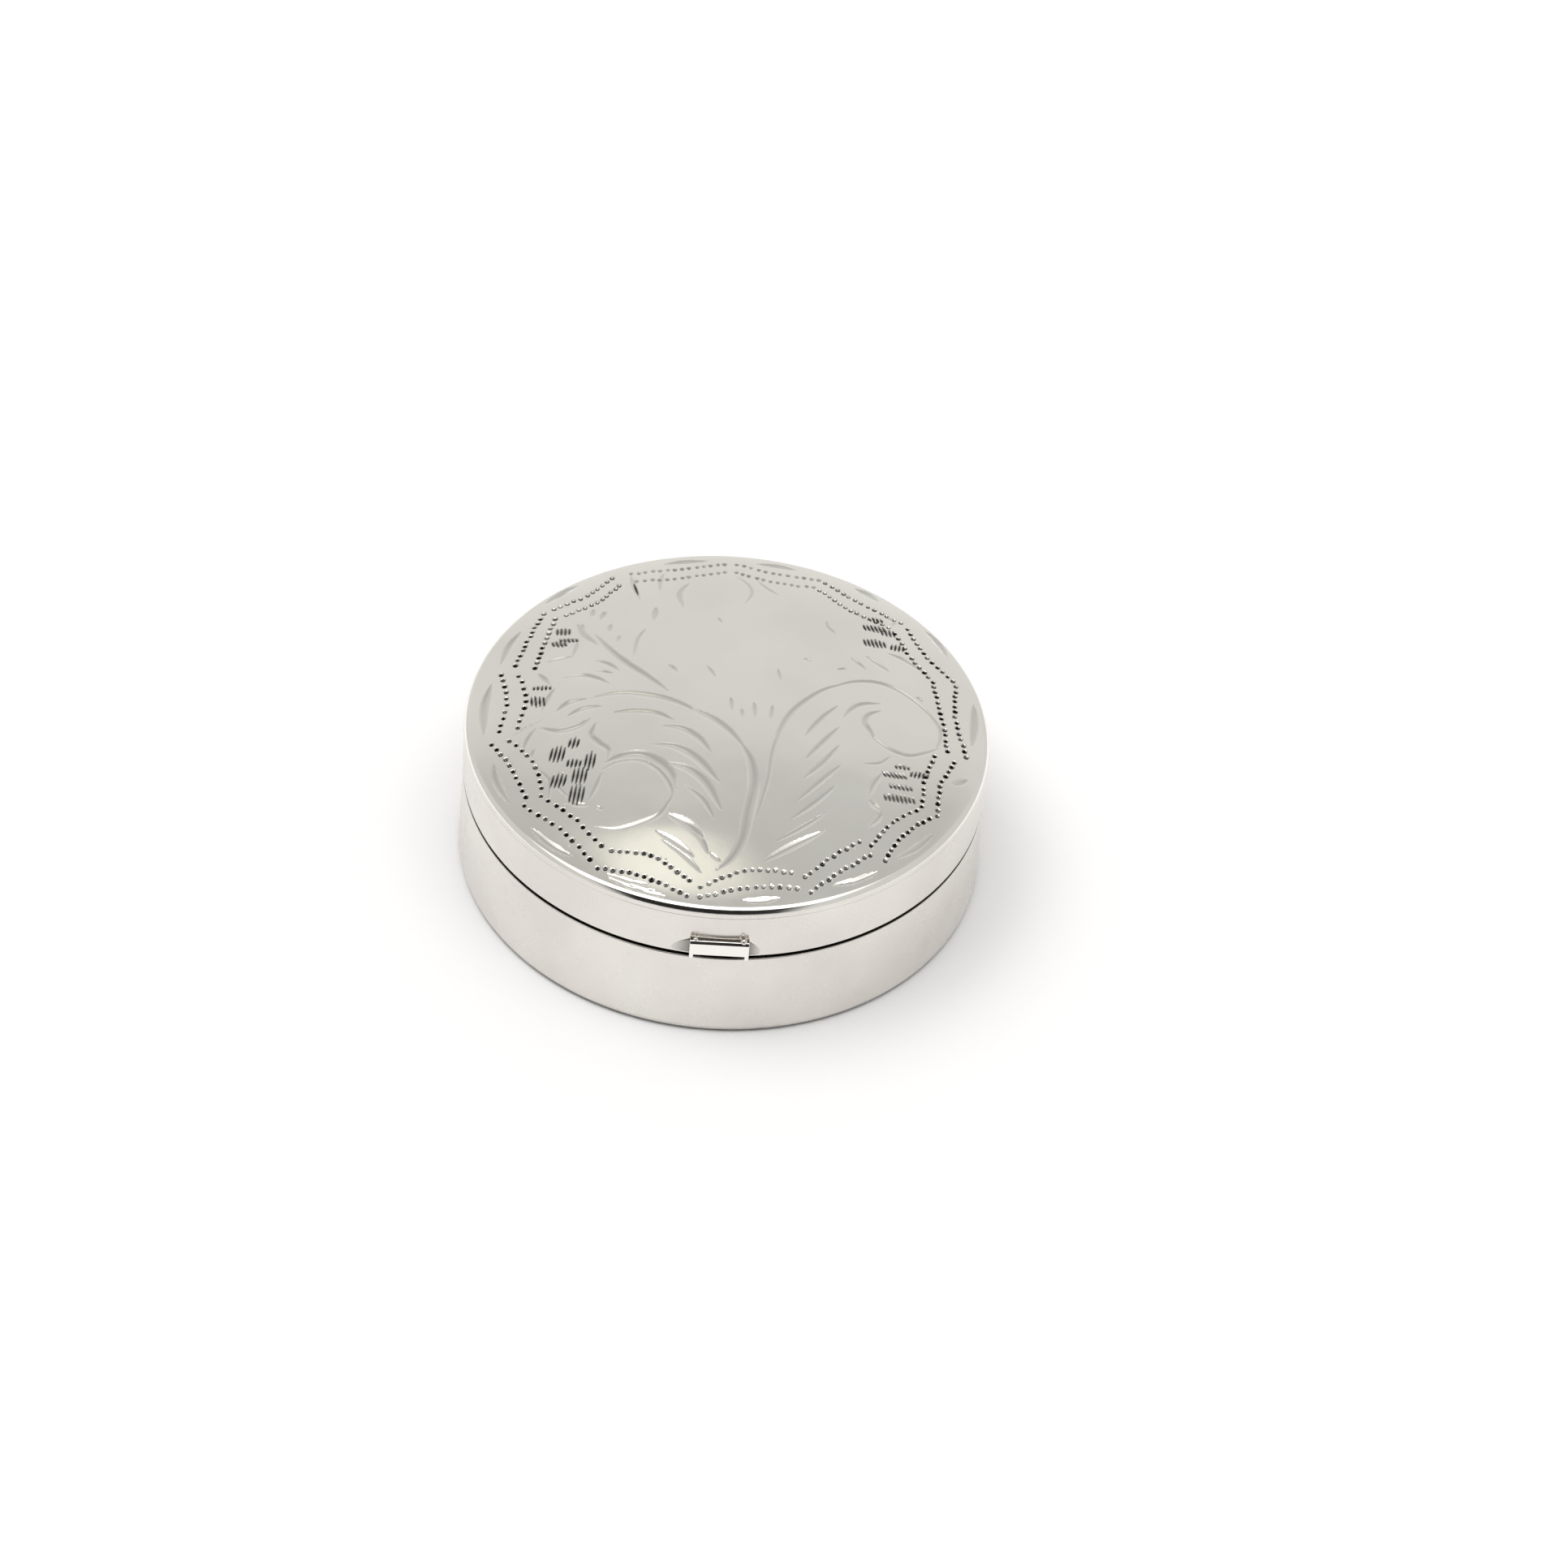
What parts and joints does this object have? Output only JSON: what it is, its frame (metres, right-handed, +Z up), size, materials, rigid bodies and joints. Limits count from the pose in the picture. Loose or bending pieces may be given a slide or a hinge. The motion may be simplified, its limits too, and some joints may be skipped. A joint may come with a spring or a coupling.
{
  "type": "pill box",
  "caption": "Round polished silver pill box with a low domed, scroll-engraved lid on a back hinge, an inner bezel and a small thumb-piece at the front.",
  "frame": {"origin": "centre of the flat underside of the base", "axes": "+Z up, the hinge at +Y, the thumb-piece at -Y, the hinge axis along X"},
  "size_m": [0.0344, 0.0361, 0.0121],
  "materials": {
    "silver_base": "polished sterling silver",
    "silver_lid": "polished sterling silver, bright-cut engraving on the dome",
    "silver_inside": "softly polished sterling silver",
    "silver_hinge": "polished silver tube",
    "pin_metal": "drawn nickel-silver wire"
  },
  "bodies": {
    "base": {"base_plate": "silver_base", "base_band": "silver_base", "base_bezel": "silver_inside", "catch_bead": "silver_inside", "base_hinge_bearer": "silver_hinge", "base_knuckle_left": "silver_hinge", "base_knuckle_centre": "silver_hinge", "base_knuckle_right": "silver_hinge", "hinge_pin": "pin_metal"},
    "lid": {"lid_top": "silver_lid", "lid_band": "silver_lid", "lid_hinge_bearer": "silver_hinge", "lid_knuckle_left": "silver_hinge", "lid_knuckle_right": "silver_hinge", "thumb_piece": "silver_lid"}
  },
  "joints": [
    {"name": "lid_hinge", "type": "hinge", "parent": "base", "child": "lid", "pos_m": [0, 0.0179, 0.00665], "axis": [-1, 0, 0], "range_deg": [0, 105]}
  ]
}
